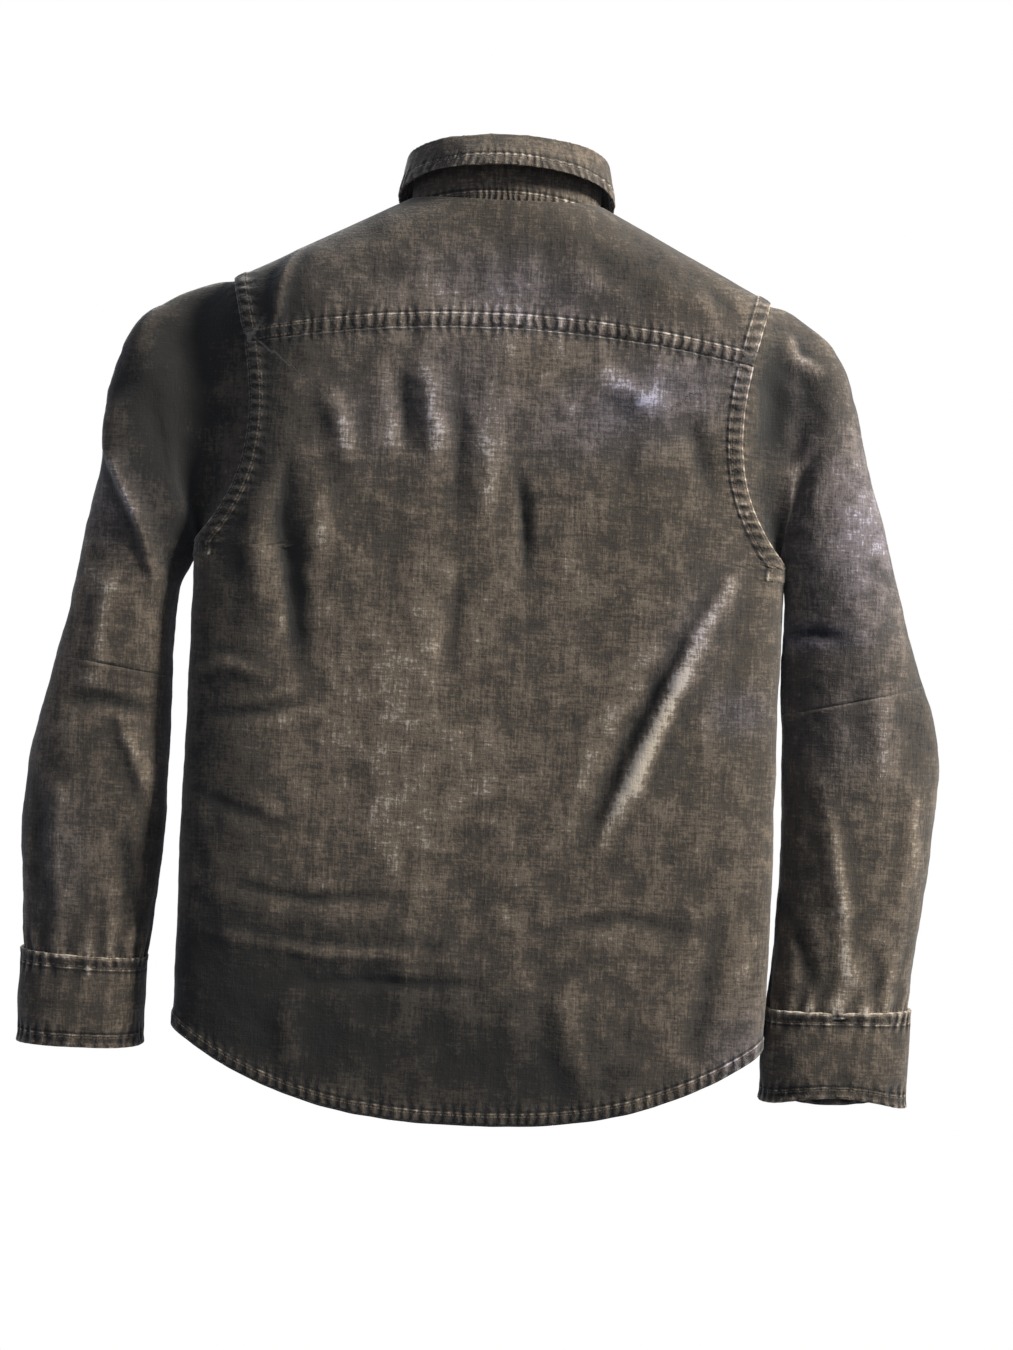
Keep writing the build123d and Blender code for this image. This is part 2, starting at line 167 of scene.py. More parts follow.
def patches(x, z, table):
    """Soft oval patches: middle x and z, half sizes, turn in degrees, strength."""
    total = np.zeros(np.shape(x))
    for cx, cz, rx, rz, turn, strength in table:
        c, s = math.cos(math.radians(turn)), math.sin(math.radians(turn))
        a, b = (x - cx) * c + (z - cz) * s, -(x - cx) * s + (z - cz) * c
        total = total + strength * np.exp(-((a / rx) ** 2) - (b / rz) ** 2)
    return total


def normals_of(P, closed=False):
    if closed:
        wide = np.concatenate([P[:, -2:-1], P, P[:, 1:2]], axis=1)
        du = np.gradient(wide, axis=1)[:, 1:-1]
    else:
        du = np.gradient(P, axis=1)
    n = np.cross(du, np.gradient(P, axis=0))
    size = np.linalg.norm(n, axis=2, keepdims=True)
    return n / np.maximum(size, 1e-9)


def smooth(values, times):
    """Blurs a grid of numbers a little, to tell ridges from hollows."""
    for _ in range(times):
        wide = np.pad(values, 1, mode="edge")
        values = (wide[:-2, 1:-1] + wide[2:, 1:-1] + wide[1:-1, :-2] + wide[1:-1, 2:]) / 4
    return values


def bake(obj):
    """Leaves the object with the mesh that its modifiers give."""
    deps = bpy.context.evaluated_depsgraph_get()
    final = obj.evaluated_get(deps)
    mesh = bpy.data.meshes.new_from_object(final, preserve_all_data_layers=True, depsgraph=deps)
    obj.modifiers.clear()
    obj.data = mesh
    return obj


FACTS = ("seam_d", "seam_s", "wear_and_shade", "painted_sheen", "painted_shade")
FAR_FROM_SEAMS = 99.0


def store_facts(mesh, rest, facts):
    """Puts the numbers that the cloth's material reads on the mesh's points."""
    for key in FACTS:
        layer = mesh.attributes.new(key, "FLOAT", "POINT")
        layer.data.foreach_set("value", facts[key].astype(np.float32))
    layer = mesh.attributes.new("rest", "FLOAT_VECTOR", "POINT")
    layer.data.foreach_set("vector", rest.astype(np.float32).ravel())


def piece(name, grids, material, thick=CLOTH):
    """One mesh from grids of points in millimetres. Each grid is (points, flipped, facts), and the facts
    are numbers at each point that the cloth's material reads."""
    points, faces, rests = [], [], []
    facts = {key: [] for key in FACTS}
    start = 0
    for P, flipped, fact in grids:
        rows, cols = P.shape[:2]
        index = np.arange(rows * cols).reshape(rows, cols) + start
        quads = np.stack([index[:-1, :-1], index[:-1, 1:], index[1:, 1:], index[1:, :-1]], -1).reshape(-1, 4)
        flat = P.reshape(-1, 3)
        corner = flat[quads - start]
        area = np.linalg.norm(np.cross(corner[:, 2] - corner[:, 0], corner[:, 3] - corner[:, 1]), axis=1)
        quads = quads[area > 0.4]
        faces.append(quads[:, ::-1] if flipped else quads)
        points.append(flat)
        rests.append((fact.get("rest", P) * MM).reshape(-1, 3))
        for key in FACTS:
            value = fact.get(key, FAR_FROM_SEAMS if key == "seam_d" else 0.0)
            facts[key].append(np.broadcast_to(np.asarray(value, float), (rows, cols)).reshape(-1))
        start += rows * cols
    mesh = bpy.data.meshes.new(name)
    mesh.from_pydata((np.concatenate(points) * MM).tolist(), [], np.concatenate(faces).tolist())
    store_facts(mesh, np.concatenate(rests), {key: np.concatenate(facts[key]) for key in FACTS})
    mesh.materials.append(material)
    mesh.shade_smooth()
    obj = bpy.data.objects.new(name, mesh)
    bpy.context.scene.collection.objects.link(obj)
    weld = obj.modifiers.new("weld", "WELD")
    weld.merge_threshold = 0.00005
    solid = obj.modifiers.new("cloth", "SOLIDIFY")
    solid.thickness, solid.offset = thick * MM, -1.0
    solid.use_even_offset = False
    return bake(obj)


# ---------------------------------------------------------------- materials
class Val:
    """A number in a node tree, so that shader arithmetic reads as arithmetic."""

    def __init__(self, tree, socket):
        self.tree, self.socket = tree, socket

    def op(self, kind, *others):
        node = self.tree.nodes.new("ShaderNodeMath")
        node.operation = kind
        for i, value in enumerate((self, *others)):
            if isinstance(value, Val):
                self.tree.links.new(value.socket, node.inputs[i])
            else:
                node.inputs[i].default_value = value
        return Val(self.tree, node.outputs[0])

    def __add__(self, other):
        return self.op("ADD", other)

    def __sub__(self, other):
        return self.op("SUBTRACT", other)

    def __mul__(self, other):
        return self.op("MULTIPLY", other)

    def unit(self):
        """Kept between 0 and 1."""
        return self.op("MINIMUM", 1.0).op("MAXIMUM", 0.0)

    def line(self, at, width):
        """1 at a value, falling to 0 at width either side."""
        return ((self - at).op("ABSOLUTE") * (-1 / width) + 1).op("MAXIMUM", 0.0)


def attribute(tree, name, vector=False):
    node = tree.nodes.new("ShaderNodeAttribute")
    node.attribute_name = name
    return node.outputs["Vector"] if vector else Val(tree, node.outputs["Fac"])


def noise_node(tree, vector, scale, detail=3.0, rough=0.6, stretch=(1, 1, 1)):
    mapping = tree.nodes.new("ShaderNodeMapping")
    mapping.inputs["Scale"].default_value = [scale * s for s in stretch]
    tree.links.new(vector, mapping.inputs["Vector"])
    node = tree.nodes.new("ShaderNodeTexNoise")
    node.inputs["Scale"].default_value = 1.0
    node.inputs["Detail"].default_value = detail
    node.inputs["Roughness"].default_value = rough
    tree.links.new(mapping.outputs[0], node.inputs["Vector"])
    return Val(tree, node.outputs["Fac"])


def colour_mix(tree, share, a, b, kind="MIX"):
    node = tree.nodes.new("ShaderNodeMix")
    node.data_type, node.blend_type = "RGBA", kind
    for socket, value in ((node.inputs[0], share), (node.inputs[6], a), (node.inputs[7], b)):
        if isinstance(value, Val):
            tree.links.new(value.socket, socket)
        elif isinstance(value, bpy.types.NodeSocket):
            tree.links.new(value, socket)
        else:
            socket.default_value = value
    return node.outputs[2]


def cloth_material(name, shades, worn_and_shaded=1.0, rough=0.86):
    """Washed cotton twill: mottled, streaked along both threads, rubbed pale on ridges and along its seams,
    with painted shade in hollows, beside its seams and in patches, painted light in patches, and a painted
    bluish sheen.
    """
    mat = bpy.data.materials.new(name)
    mat.use_nodes = True
    tree = mat.node_tree
    shader = tree.nodes["Principled BSDF"]
    shader.inputs["Roughness"].default_value = rough
    shader.inputs["Specular IOR Level"].default_value = 0.3
    shader.inputs["Sheen Weight"].default_value = 0.25
    shader.inputs["Sheen Roughness"].default_value = 0.5
    rest = attribute(tree, "rest", vector=True)
    d, s = attribute(tree, "seam_d").op("ABSOLUTE"), attribute(tree, "seam_s")
    wear_and_shade, painted_sheen, painted_shade = attribute(tree, "wear_and_shade"), attribute(tree, "painted_sheen"), attribute(tree, "painted_shade")
    broad = noise_node(tree, rest, 13, 3)
    middle = noise_node(tree, rest, 55, 5, 0.62)
    fine = noise_node(tree, rest, 330, 4, 0.75)
    streak = noise_node(tree, rest, 1, 4, 0.6, (120, 120, 16))
    warp = noise_node(tree, rest, 1, 2, 0.7, (620, 620, 60))
    weft = noise_node(tree, rest, 1, 2, 0.7, (70, 70, 560))
    weave = warp + weft - 1.0
    near = ((d - 5.0) * (-1 / 13.0) + 1).unit()
    pucker = (s * (2 * math.pi / PUCKER) + middle * 9.0).op("SINE")
    ladder = pucker * near * near
    band = ((d * -1.0) + 6.2).unit()
    # painted shade in the trough just outside each raised seam comes from the second of these
    edge, groove_shade, stitch = d.line(5.3, 1.1), d.line(6.9, 1.7), d.line(3.4, 0.8)
    dashes = (s * (1 / 3.4)).op("FRACT").op("LESS_THAN", 0.68)
    tone = (
        (broad - 0.5) * 0.4 + (middle - 0.5) * 0.42 + (streak - 0.5) * 0.4 + (fine - 0.5) * 0.75 + weave * 0.5
        # pale on ridges, with painted shade in hollows
        + wear_and_shade * 0.5 * worn_and_shaded + ladder * 0.2 * worn_and_shaded + edge * (middle * 0.9) * worn_and_shaded
        - groove_shade * 0.38 - band * 0.06
        # painted shade where the patch value is above 0, painted light where it is below 0
        - painted_shade.op("MAXIMUM", 0.0) * 0.45 - painted_shade.op("MINIMUM", 0.0) * 0.2 + 0.49
    )
    ramp = tree.nodes.new("ShaderNodeValToRGB")
    ramp.color_ramp.interpolation = "EASE"
    places = (0.05, 0.4, 0.7, 1.0)
    ramp.color_ramp.elements[0].position, ramp.color_ramp.elements[1].position = places[0], places[3]
    for place in places[1:3]:
        ramp.color_ramp.elements.new(place)
    for element, shade in zip(ramp.color_ramp.elements, shades):
        element.color = (*shade, 1)
    tree.links.new(tone.socket, ramp.inputs[0])
    # the painted bluish sheen: the colour tinted blue and mixed in by the painted sheen amount
    sheen_blue = colour_mix(tree, 1.0, ramp.outputs[0], (0.95, 1.05, 1.6, 1), "MULTIPLY")
    coloured = colour_mix(tree, (painted_sheen * (middle + 0.5)).unit(), ramp.outputs[0], sheen_blue)
    thread = colour_mix(tree, stitch * dashes * 0.55, coloured, (0.16, 0.12, 0.085, 1))
    tree.links.new(thread, shader.inputs["Base Color"])
    height = weave * 0.35 + (fine - 0.5) * 0.5 + (middle - 0.5) * 0.7 + ladder * 0.75 + stitch * -0.25
    bump = tree.nodes.new("ShaderNodeBump")
    bump.inputs["Strength"].default_value = 0.8
    bump.inputs["Distance"].default_value = 0.0012
    tree.links.new(height.socket, bump.inputs["Height"])
    tree.links.new(bump.outputs[0], shader.inputs["Normal"])
    return mat


def metal_material(name, colour):
    mat = bpy.data.materials.new(name)
    mat.use_nodes = True
    tree = mat.node_tree
    shader = tree.nodes["Principled BSDF"]
    shader.inputs["Metallic"].default_value = 1.0
    shader.inputs["Roughness"].default_value = 0.42
    where = tree.nodes.new("ShaderNodeTexCoord").outputs["Object"]
    tarnish = noise_node(tree, where, 420, 4)
    mixed = colour_mix(tree, tarnish, (*colour, 1), (*[c * 0.35 for c in colour], 1))
    tree.links.new(mixed, shader.inputs["Base Color"])
    bump = tree.nodes.new("ShaderNodeBump")
    bump.inputs["Strength"].default_value = 0.3
    bump.inputs["Distance"].default_value = 0.0003
    tree.links.new(tarnish.socket, bump.inputs["Height"])
    tree.links.new(bump.outputs[0], shader.inputs["Normal"])
    return mat


# each cloth's shades, from its darkest, used where shade is painted into hollows, to its palest, rubbed
# threads
DENIM_SHADES = ((0.006, 0.0055, 0.005), (0.036, 0.029, 0.022), (0.105, 0.082, 0.06), (0.33, 0.29, 0.24))
INNER_SHADES = ((0.01, 0.009, 0.008), (0.04, 0.033, 0.026), (0.09, 0.072, 0.055), (0.2, 0.17, 0.14))
TAPE_SHADES = ((0.004, 0.004, 0.004), (0.012, 0.011, 0.01), (0.03, 0.028, 0.026), (0.08, 0.07, 0.06))
LABEL_SHADES = ((0.05, 0.045, 0.035), (0.11, 0.1, 0.08), (0.2, 0.18, 0.15), (0.3, 0.28, 0.24))
DENIM = cloth_material("washed_twill", DENIM_SHADES)
INNER = cloth_material("inner_cloth", INNER_SHADES, worn_and_shaded=0.4)
TAPE = cloth_material("tape", TAPE_SHADES, worn_and_shaded=0.3)
LABEL = cloth_material("label", LABEL_SHADES, worn_and_shaded=0.2)
SNAP = metal_material("aged_snap", (0.36, 0.27, 0.17))


# ---------------------------------------------------------------- relief of the cloth
def crumple(P, seed, strength=1.0):
    """Soft waves, creases and fine rumpling, in millimetres."""
    waves = noise_at(P * [1, 1, 0.55], 120, 1, seed) * 2.6
    drape = noise_at(P * [1, 1, 0.22], 34, 1, seed + 5) * 1.1
    creases = 0.5 - np.abs(noise_at(P * [1.0, 1.0, 0.8], 58, 1, seed + 7)) * 2.6
    small = noise_at(P, 24, 3, seed + 3) * 0.8
    return strength * (waves + drape + creases * 0.7 + small)


# The fold and tone tables here and under the sleeves are numbers that another program worked out, not values
# chosen by hand for this script.
# Folds: a line of (x, z) points, width, height and how sharp one flank is.
BACK_FOLDS = [
    ([(166, -210), (172, -267), (161, -325), (152, -399)], 9, -5.5, 0.5),
    ([(185, -233), (191, -282), (181, -349)], 9, 4, 1),
    ([(147, -149), (127, -179), (117, -228)], 8, 4, 1),
    ([(143, -219), (137, -269), (138, -318)], 9, 3, 1),
    ([(80, -133), (75, -173), (71, -214)], 6, -3.5, 1),
    ([(59, -134), (50, -182), (45, -224)], 7, 3.5, 1),
    ([(31, -136), (29, -200), (31, -265)], 7, -3, 1),
    ([(8, -160), (4, -226), (9, -291)], 9, 2.5, 1),
    ([(-19, -214), (-27, -260), (-30, -313)], 6, -4, 0.6),
    ([(22, -290), (27, -356), (27, -397)], 6, -2.5, 1),
    ([(-214, -275), (-171, -349), (-138, -429), (-111, -494), (-87, -558)], 9, 6, 0.5),
    ([(-193, -313), (-152, -372), (-117, -445), (-80, -533)], 9, -3.5, 1),
    ([(-151, -163), (-166, -193), (-178, -234)], 8, -3, 1),
    ([(-74, -131), (-114, -153), (-146, -167)], 9, 3, 1),
    ([(219, -564), (136, -577), (53, -570)], 4, -2.2, 1),
    ([(231, -605), (129, -620), (6, -619)], 4, 2.4, 1),
    ([(164, -647), (81, -642), (-17, -641)], 4, -2.4, 1),
    ([(240, -432), (186, -426), (124, -410)], 5, -2.5, 1),
    ([(242, -395), (209, -388), (168, -398)], 5, 2.5, 1),
    ([(238, -494), (190, -508), (141, -523)], 5, -1.8, 1),
    ([(-36, -597), (-119, -580), (-200, -592)], 5, -1.6, 1),
    ([(-96, -723), (-82, -673), (-76, -623)], 10, 3, 1),
    ([(142, -720), (149, -678), (138, -638)], 9, 2.5, 1),
    ([(-179, -702), (-194, -645), (-201, -580)], 9, -3, 1),
    ([(186, -135), (178, -78), (165, -25)], 6, 4.5, 0.5),
    ([(-160, -45), (-191, -87), (-202, -112)], 8, -2, 1),
    ([(-46, -27), (-77, -65), (-109, -83)], 10, 2, 1),
]
# Painted shade, and painted light where the strength is below 0: middle x and z, half sizes, turn in degrees,
# strength.
BACK_PAINTED_SHADE = [
    (140, -671, 156, 74, 0, 1),
    (-46, -720, 90, 41, 0, 0.7),
    (217, -478, 45, 197, 0, 0.75),
    (196, -208, 29, 90, 0, 1),
    (191, -94, 34, 49, 0, 1.3),
    (155, -301, 11, 74, 0, 0.7),
    (-112, -34, 90, 49, 20, 0.35),
    (56, -461, 98, 107, 0, -0.75),
    (85, -370, 57, 49, 0, -0.45),
    (19, -192, 74, 57, 0, -0.35),
    (-127, -412, 57, 131, 20, -0.3),
    (-119, -223, 49, 41, 0, 0.25),
    (-231, -631, 33, 41, 0, -0.5),
    (6, -94, 74, 25, 10, -0.6),
    (-139, -154, 74, 21, -20, -0.3),
]
# Painted bluish sheen on the back, with the same columns.
BACK_PAINTED_SHEEN = [
    (-122, -158, 90, 34, -20, 1),
    (-20, -71, 74, 31, 10, 0.75),
    (-209, -408, 26, 20, 0, 0.8),
    (-171, -341, 25, 49, 25, 0.45),
    (-228, -696, 33, 41, 0, 0.7),
    (34, -158, 41, 49, 0, 0.5),
    (109, -180, 41, 41, 0, 0.35),
    (112, -81, 74, 49, 0, 0.2),
]


def body_facts(P, side, lateral):
    """How far points on the body are from the nearest seam, and how far along it they are."""
    x, z = P[..., 0], P[..., 2]
    slope = _arm.deriv()(np.clip(z, -292, -60))
    arm = np.where(z > ARM_LOW - 8, (arm_x(z) - np.abs(x)) / np.sqrt(1 + slope**2), FAR_FROM_SEAMS)
    seams = [
        (arm - SEAM / 2, z),
        (z - yoke_z(x, side) - SEAM / 2, x),
        (z - hem_z(x) - 4.5, x),
        (np.where(z < ARM_LOW, lateral, FAR_FROM_SEAMS), z),
    ]
    d, s = np.full(x.shape, FAR_FROM_SEAMS), np.zeros(x.shape)
    for distance, along in seams:
        closer = np.abs(distance) < np.abs(d)
        d, s = np.where(closer, distance, d), np.where(closer, along, s)
    return d, s


# pale on ridges and painted shade in hollows, from how far the relief stands above or below its blur
def worn_ridges_shaded_hollows(relief):
    return np.tanh((relief - smooth(relief, 20)) * WEAR_AND_SHADE_GAIN)


def finish_sheet(P, seed, folds, calm, lift, outward):
    """Moves the points out along their normals by the cloth's relief. It gives them, and for each point its
    paleness from rubbing on ridges and its painted shade in hollows.
    """
    relief = (crumple(P, seed) + folds) * calm
    return P + normals_of(P) * outward * (relief + lift)[..., None], worn_ridges_shaded_hollows(relief)


def arm_calm(x, z):
    """Falls towards the armhole seam, where the cloth is held flat."""
    return np.where(z > ARM_LOW - 5, np.clip((arm_x(z) - np.abs(x)) / 22, 0.12, 1), 1.0)


def side_calm(lateral):
    return 0.35 + 0.65 * np.clip(lateral / 30, 0, 1)


def seam_lift(d, height):
    """A felled seam stands proud by height."""
    return height / (1 + np.exp((np.abs(d) - 5.6) * 2.2))


def body_grid(side, u, t):
    """Points of the body's cloth. u runs from the middle (or the other side seam) to the side seam, as a
    share of the girth at that height; t is 0 at the hem, 1 at the yoke seam, and 2 at the neck and
    shoulder."""
    U, T = np.meshgrid(u, t)

    def height(x, tt):
        low, mid, top = hem_z(x), yoke_z(x, side), top_z(x, side)
        lower = low + (mid - low) * np.minimum(tt, 1)
        upper = top - (top - mid) * np.clip(2 - tt, 0, 1) ** 1.6
        return np.where(tt <= 1, lower, upper)

    edge = np.full(t.shape, 225.0)
    for _ in range(40):
        z = height(edge, t)
        goal = np.where(z < ARM_LOW, HALF_W, arm_x(z))
        edge = edge + (goal - edge) * 0.6
    reach = np.interp(edge / HALF_W, _px, _arc)
    share = np.abs(U) * reach[:, None]
    x = HALF_W * np.interp(share, _arc, _px) * np.sign(U + 1e-12)
    z = height(x, T)
    y = side * depth(x, z)
    closing = np.abs(U) * (np.where(height(edge, t) < ARM_LOW, 1.0, 0.0))[:, None]
    y = np.where(closing > 0.9999, 0.0, y)
    P = np.stack([x, y, z], -1)
    return P, (1 - share) * GIRTH


def spaced(a, b, step):
    return np.linspace(a, b, max(2, int(abs(b - a) / step) + 1))


T_LOW, T_HIGH = spaced(0, 650, STEP) / 650, 1 + spaced(0, 130, STEP) / 130


def body_sheet(side, u, t, seed, folds, facts):
    P, lateral = body_grid(side, u, t)
    d, s = body_facts(P, side, lateral)
    x, z = P[..., 0], P[..., 2]
    near_top = np.clip((top_z(x, side) - z) / 22, 0.15, 1)
    calm = near_top * arm_calm(x, z) * side_calm(lateral)
    ripple = noise_at(np.stack([s, s * 0, s * 0], -1), 14, 1, seed) * np.exp(-((d / 16) ** 2)) * 1.1
    ripple = np.where(lateral < 20, 0, ripple)
    Q, worn_and_shaded = finish_sheet(P, seed, strokes(x, z, folds), calm, seam_lift(d, 1.3) + ripple, -side)
    got = {"rest": P, "seam_d": d, "seam_s": s, "wear_and_shade": worn_and_shaded}
    got.update({key: value(x, z) for key, value in facts.items()})
    return Q, side < 0, got


BACK_FACTS = {
    "painted_shade": lambda x, z: np.clip(patches(x, z, BACK_PAINTED_SHADE), -1.2, 1.5),
    "painted_sheen": lambda x, z: np.clip(patches(x, z, BACK_PAINTED_SHEEN), 0, 1),
}

U_BACK = np.linspace(-1, 1, int(2 * GIRTH / STEP))
back = piece("back_cloth", [body_sheet(1, U_BACK, T_LOW, 3.1, BACK_FOLDS, BACK_FACTS)], DENIM)
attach(back, "torso")
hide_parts("back_panel", "hem_back", "side_seam_left", "side_seam_right")

# the yoke wraps over the shoulders to the front
YOKE_FRONT_EDGE = 13.0    # how near the middle the yoke comes at the front
u_front = np.linspace(np.interp(YOKE_FRONT_EDGE / HALF_W, _px, _arc), 1, int(GIRTH / STEP))
yoke_grids = [body_sheet(1, U_BACK, T_HIGH, 3.1, BACK_FOLDS, BACK_FACTS)]
for sign in (1, -1):
    u = u_front if sign > 0 else -u_front[::-1]
    yoke_grids.append(body_sheet(-1, u, T_HIGH, 3.1, [], {}))
yoke = piece("yoke_cloth", yoke_grids, DENIM)
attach(yoke, "torso")
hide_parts("yoke", "yoke_seam", "armhole_seam_left", "armhole_seam_right")


# ---------------------------------------------------------------- fronts
def front_facts(P, lateral, inner_edge):
    """As body_facts, with the seam beside the placket as well."""
    d, s = body_facts(P, -1, lateral)
    gap = inner_edge - SEAM / 2
    closer = np.abs(gap) < np.abs(d)
    return np.where(closer, gap, d), np.where(closer, P[..., 2], s)


POCKET_AREAS = [(140, -228, 75, 95, 0, 1.0), (-140, -228, 75, 95, 0, 1.0)]    # kept flat under the pockets


def front(name, sign, inner, nodes, folds, seed):
    """One front panel, from its placket to the side seam."""
    u = np.linspace(np.interp(inner / HALF_W, _px, _arc), 1, int(GIRTH / STEP))
    u = u if sign > 0 else -u[::-1]
    P, lateral = body_grid(-1, u, T_LOW)
    x, z = P[..., 0], P[..., 2]
    d, s = front_facts(P, lateral, np.abs(x) - inner)
    clear = 1 - np.clip(patches(x, z, POCKET_AREAS) * 1.6, 0, 1)
    near_placket = np.clip((np.abs(x) - inner) / 30, 0.1, 1)
    calm = arm_calm(x, z) * side_calm(lateral) * clear * near_placket * 0.8
    Q, worn_and_shaded = finish_sheet(P, seed, strokes(x, z, folds), calm, seam_lift(d, 1.0), 1)
    # a painted bluish sheen low on each front
    painted_sheen = np.clip(patches(x, z, [(150 * sign, -560, 60, 90, 20, 0.8)]), 0, 1)
    facts = {"rest": P, "seam_d": d, "seam_s": s, "wear_and_shade": worn_and_shaded, "painted_sheen": painted_sheen}
    obj = piece(name, [(Q, True, facts)], DENIM)
    crease(obj)
    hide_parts(*nodes)
    return obj


def crease(obj):
    """Bakes the object's transform into its mesh."""
    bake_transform(obj)


FRONT_FOLDS = [
    ([(70, -330), (60, -520), (80, -700)], 9, 3.0, 1.0),
    ([(215, -330), (190, -500), (200, -640)], 8, 3.0, 1.0),
]
for side, sign, seed in (("left", 1, 5.7), ("right", -1, 8.2)):
    folds = [([(x * sign, z) for x, z in line], *rest) for line, *rest in FRONT_FOLDS]
    nodes = [f"front_{side}_upper", f"front_{side}_lower", f"hem_front_{side}", f"hem_front_{side}_side"]
    front(f"front_{side}_cloth", sign, 12.0, nodes, folds, seed)


BAND_TOP = -27


def placket(name, left, right, face, nodes):
    """A folded band down one front edge."""
    flat = np.linspace(left + 2, right - 2, 12)
    turn = np.array([2.2, 0.8, 0.15])    # how far the folded edge lies behind the face
    xs = np.array([left, left, left + 1, *flat, right - 1, right, right], float)
    ys = face + np.array([*turn, *(0 * flat), *turn[::-1]])
    low = hem_z((left + right) / 2)
    zs = spaced(low, BAND_TOP, STEP)
    X, Z = np.meshgrid(xs, zs)
    Y = np.broadcast_to(ys, X.shape)
    P = np.stack([X, Y, Z], -1)
    edge = np.minimum(X - left, right - X)
    end = np.minimum(Z - low, BAND_TOP - Z)
    d = np.minimum(edge, end) - 2.0
    puff = noise_at(P, 18, 2, 2.2) * 0.35 * np.clip(edge / 4, 0, 1)
    Q = P + np.stack([puff * 0, -np.abs(puff), puff * 0], -1)
    facts = {"rest": P, "seam_d": d, "seam_s": Z, "wear_and_shade": puff * 0.6}
    obj = piece(name, [(Q, True, facts)], DENIM, 1.6)
    crease(obj)
    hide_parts(*nodes)
    return obj


placket("placket_left_band", -17, 13, -52.2, ("placket_left", "placket_left_top"))
placket("placket_right_band", -25, 5, -48.2, ("placket_right", "placket_right_top"))


# ---------------------------------------------------------------- sleeves
def ring(inner, outer, half, around, power=2.3):
    """A squared oval between an inner and an outer (x, z) point, half as deep as it is told."""
    c, s = np.cos(around), np.sin(around)
    bow, rise = np.sign(c) * np.abs(c) ** (2 / power), np.sign(s) * np.abs(s) ** (2 / power)
    mid, arm = (np.array(outer) + inner) / 2, (np.array(outer) - inner) / 2
    return np.stack([mid[0] + arm[0] * bow, half * rise, mid[1] + arm[1] * bow], -1)


def armhole_ring(around):
    """The armhole seam: the shoulder point at 0, the back at a quarter turn, the underarm at a half."""
    z = (ARM_TOP + ARM_LOW) / 2 + (ARM_TOP - ARM_LOW) / 2 * np.cos(around)
    x = arm_x(z)
    back = np.sign(np.sin(around) + 1e-12)
    return np.stack([x - 3.0, back * np.maximum(depth(x, z) - 1.5, 0), z], -1)


def curve(knots, at):
    """Catmull-Rom curve through the knots, along the first axis."""
    last = len(knots) - 1
    k = np.clip(np.floor(at).astype(int), 0, last - 1)
    f = (at - k)[:, None, None]
    a, b, c, d = (knots[np.clip(k + o, 0, last)] for o in (-1, 0, 1, 2))
    return 0.5 * (2 * b + (c - a) * f + (2 * a - 5 * b + 4 * c - d) * f**2 + (3 * b - a - 3 * c + d) * f**3)


AROUND = np.linspace(-np.pi / 2, 1.5 * np.pi, 165)   # the grid's seam is in front
BACK_COLUMN = 82                                     # the middle of the grid, which faces back


def pointing_out(n, P, row, middle):
    """The normals, turned so that they point away from the middle."""
    return n * (1 if n[row, BACK_COLUMN] @ (P[row, BACK_COLUMN] - middle) > 0 else -1)


def sleeve(side, rings, folds, painted_shade, painted_sheen, seed, split):
    """One sleeve, from the armhole to the cuff, in two pieces that meet above the elbow."""
    sign = 1 if side == "left" else -1
    knots = np.stack([armhole_ring(AROUND)] + [ring(*r, AROUND) for r in rings])
    middles = knots.mean(axis=1)
    at = []
    for i in range(len(knots) - 1):
        count = max(3, int(np.linalg.norm(knots[i + 1] - knots[i], axis=1).max() / STEP))
        at.extend(np.linspace(i, i + 1, count, endpoint=False))
    at = np.array(at + [len(knots) - 1.0])
    P = curve(knots, at)
    P[:, -1] = P[:, 0]
    x, z = P[..., 0], P[..., 2]
    d_arm = np.linalg.norm(P - P[:1], axis=2) + 4.0
    d_cuff = z - P[-1:, :, 2]
    d = np.where(d_cuff < d_arm, d_cuff + 4.0, d_arm)
    column = np.arange(len(AROUND))
    s = np.where(d_cuff < d_arm, column * STEP, z)
    behind = np.clip(P[..., 1] / 8, -1, 1)
    gather = np.sin(column * 0.62 + noise_at(P, 30, 1, seed) * 2.5) * 1.6 * np.exp(-d_cuff / 26)
    relief = np.where(behind > 0, strokes(x, z, folds) * behind, 0.0) + gather
    calm = np.clip(d_arm / 26, 0.0, 1) * np.clip(d_cuff / 10 + 0.25, 0, 1)
    n = pointing_out(normals_of(P, closed=True), P, len(P) // 2, middles.mean(axis=0))
    total = (crumple(P, seed, 1.15) + relief) * calm
    flip = bool(np.sum(np.cross(P[1, 1] - P[1, 0], P[2, 0] - P[1, 0]) * n[1, 0]) < 0)
    Q = P + n * total[..., None]
    Q[:, -1] = Q[:, 0]
    Q[..., 0] *= sign
    facts = {
        "rest": P * [sign, 1, 1],
        "seam_d": d,
        "seam_s": s,
        "wear_and_shade": worn_ridges_shaded_hollows(total),
        # painted shade and painted light on the back of the sleeve
        "painted_shade": patches(x, z, painted_shade) * (behind > 0),
        # painted bluish sheen on the back of the sleeve
        "painted_sheen": np.clip(patches(x, z, painted_sheen), 0, 1) * (behind > 0),
    }
    if sign < 0:
        flip = not flip
    cut = int(np.argmin(np.abs(P[..., 2].mean(axis=1) - split)))
    for part, rows in (("upper", slice(0, cut + 1)), ("lower", slice(cut, None))):
        share = {key: value[rows] for key, value in facts.items()}
        obj = piece(f"sleeve_{part}_{side}_cloth", [(Q[rows], flip, share)], DENIM)
        if part == "upper":
            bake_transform(obj)
        else:
            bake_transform(obj)
        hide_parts(f"sleeve_{part}_{side}")
        cut_size, cut_area = ((0.46, 0.35), 0.092) if part == "upper" else ((0.30, 0.25), 0.068)


